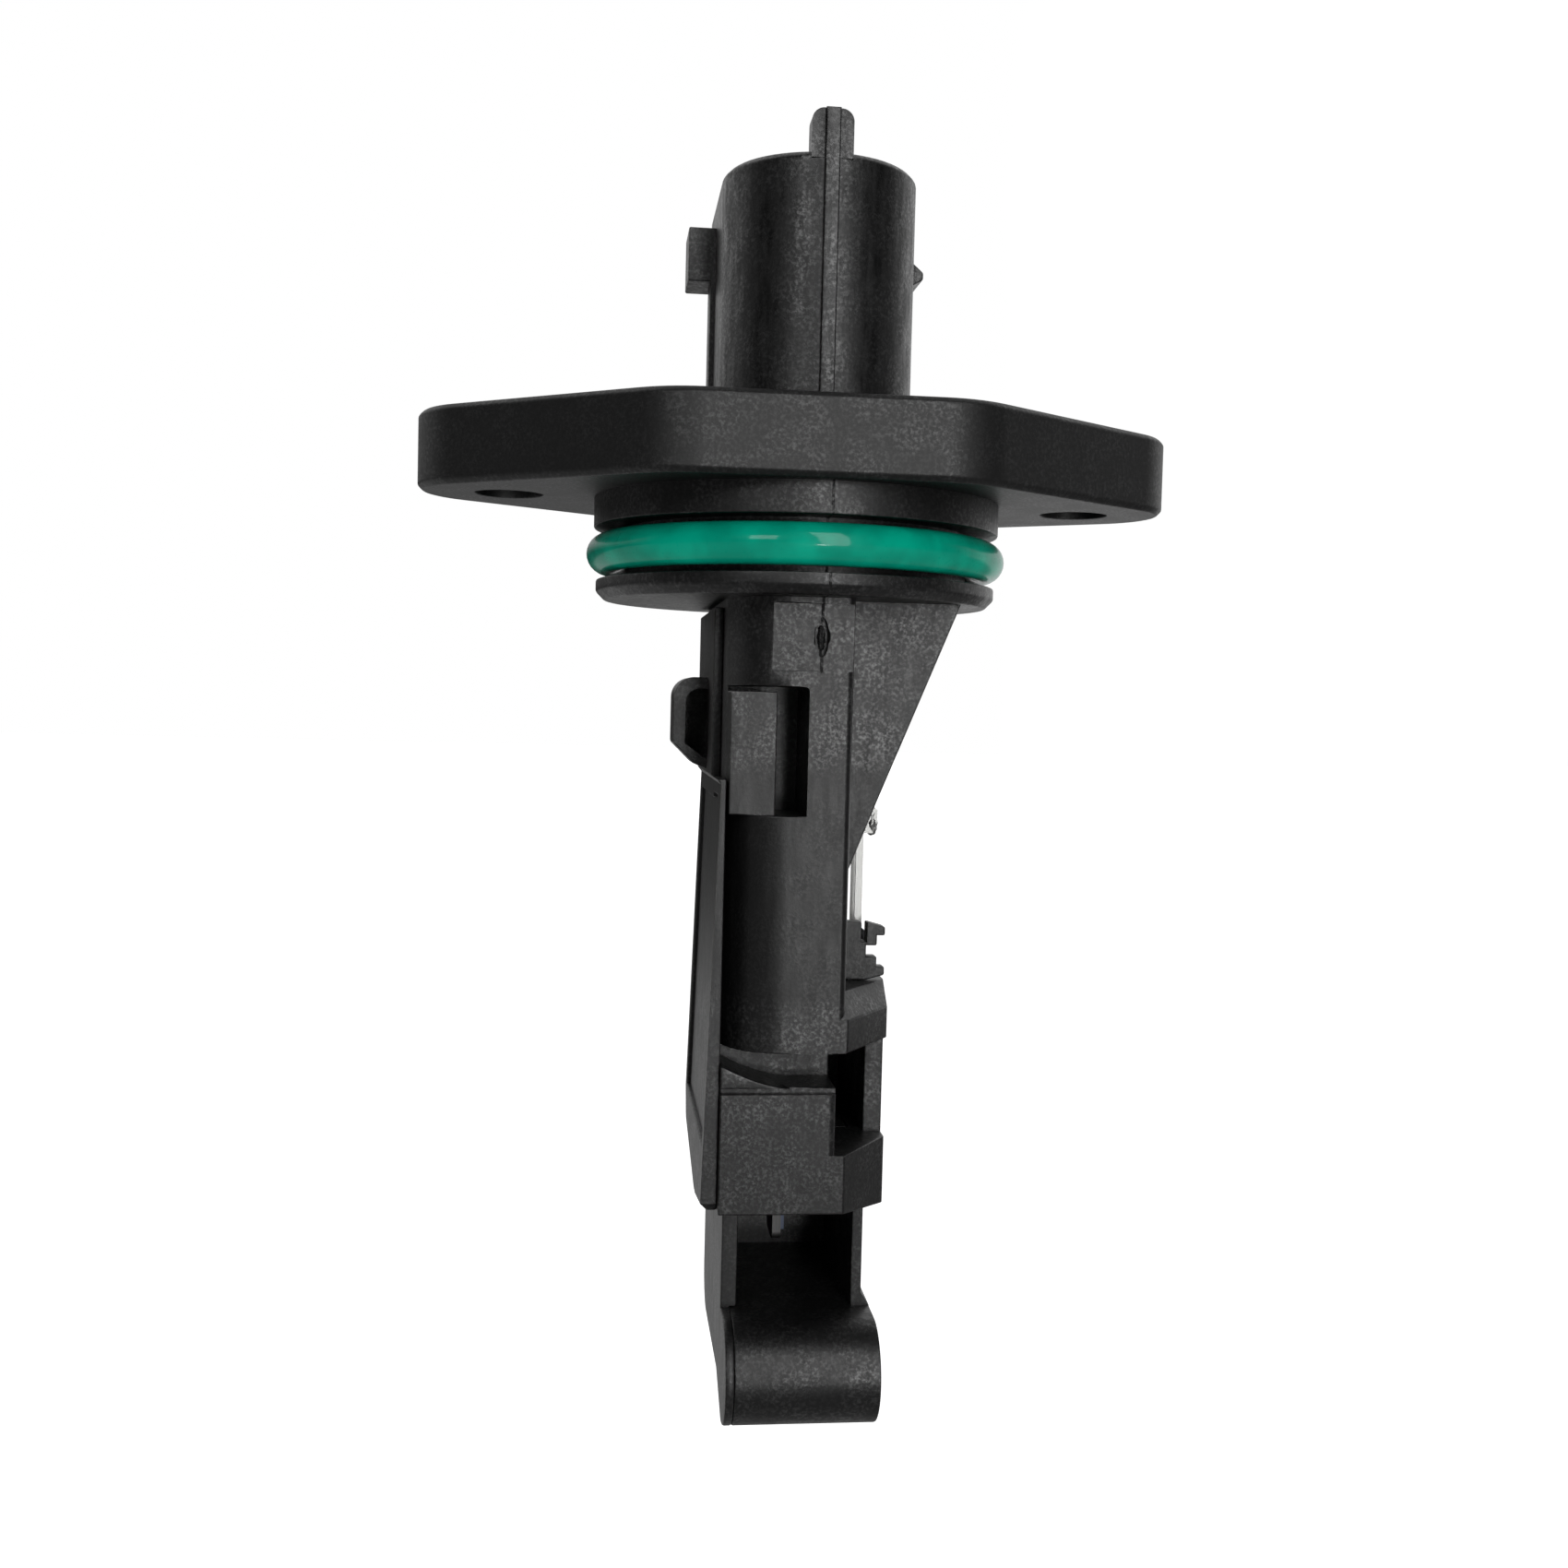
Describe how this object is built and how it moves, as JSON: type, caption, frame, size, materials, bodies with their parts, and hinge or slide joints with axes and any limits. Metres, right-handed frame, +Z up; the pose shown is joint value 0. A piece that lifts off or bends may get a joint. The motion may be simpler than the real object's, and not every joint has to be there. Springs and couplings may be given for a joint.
{
  "type": "mass airflow sensor",
  "caption": "Plug-in mass airflow sensor: flanged plug with a sealing ring, connector shell above, and a measuring finger with a bypass inlet below.",
  "frame": {"origin": "on the plug's axis, at the flange's underside, midway between the two screw holes", "axes": "+Z up along the plug towards the connector, +X along the flange through the screw holes, -Y towards the inlet side of the finger"},
  "size_m": [0.0526, 0.0308, 0.0862],
  "materials": {
    "housing_plastic": "fine grain, matt",
    "cover_plastic": "fine grain, matt",
    "channel_plastic": "fine grain, matt",
    "seal_rubber": "smooth, glossy",
    "tinned_metal": "bright",
    "carrier_metal": "satin",
    "ceramic": "matt white",
    "chip_black": "matt",
    "component_tan": "matt",
    "gel": "clear, soft",
    "adhesive": "soft",
    "silicon": "polished",
    "bead_glass": "glossy"
  },
  "bodies": {
    "root": {"sensor_housing": "housing_plastic", "electronics_cover": "cover_plastic", "channel_body": "channel_plastic", "channel_cover": "cover_plastic", "seal_ring": "seal_rubber", "cover_adhesive": "adhesive", "carrier_plate": "carrier_metal", "sensor_tongue": "carrier_metal", "circuit_board": "ceramic", "evaluation_chip": "chip_black", "capacitors": "component_tan", "resistors": "chip_black", "protective_gel": "gel", "bond_wires": "tinned_metal", "sensor_chip": "silicon", "temperature_bead": "bead_glass", "temperature_lead_front": "tinned_metal", "temperature_lead_rear": "tinned_metal", "contact_post_front": "tinned_metal", "contact_post_rear": "tinned_metal", "terminal_1": "tinned_metal", "terminal_2": "tinned_metal", "terminal_3": "tinned_metal", "terminal_4": "tinned_metal", "terminal_5": "tinned_metal"}
  },
  "joints": []
}
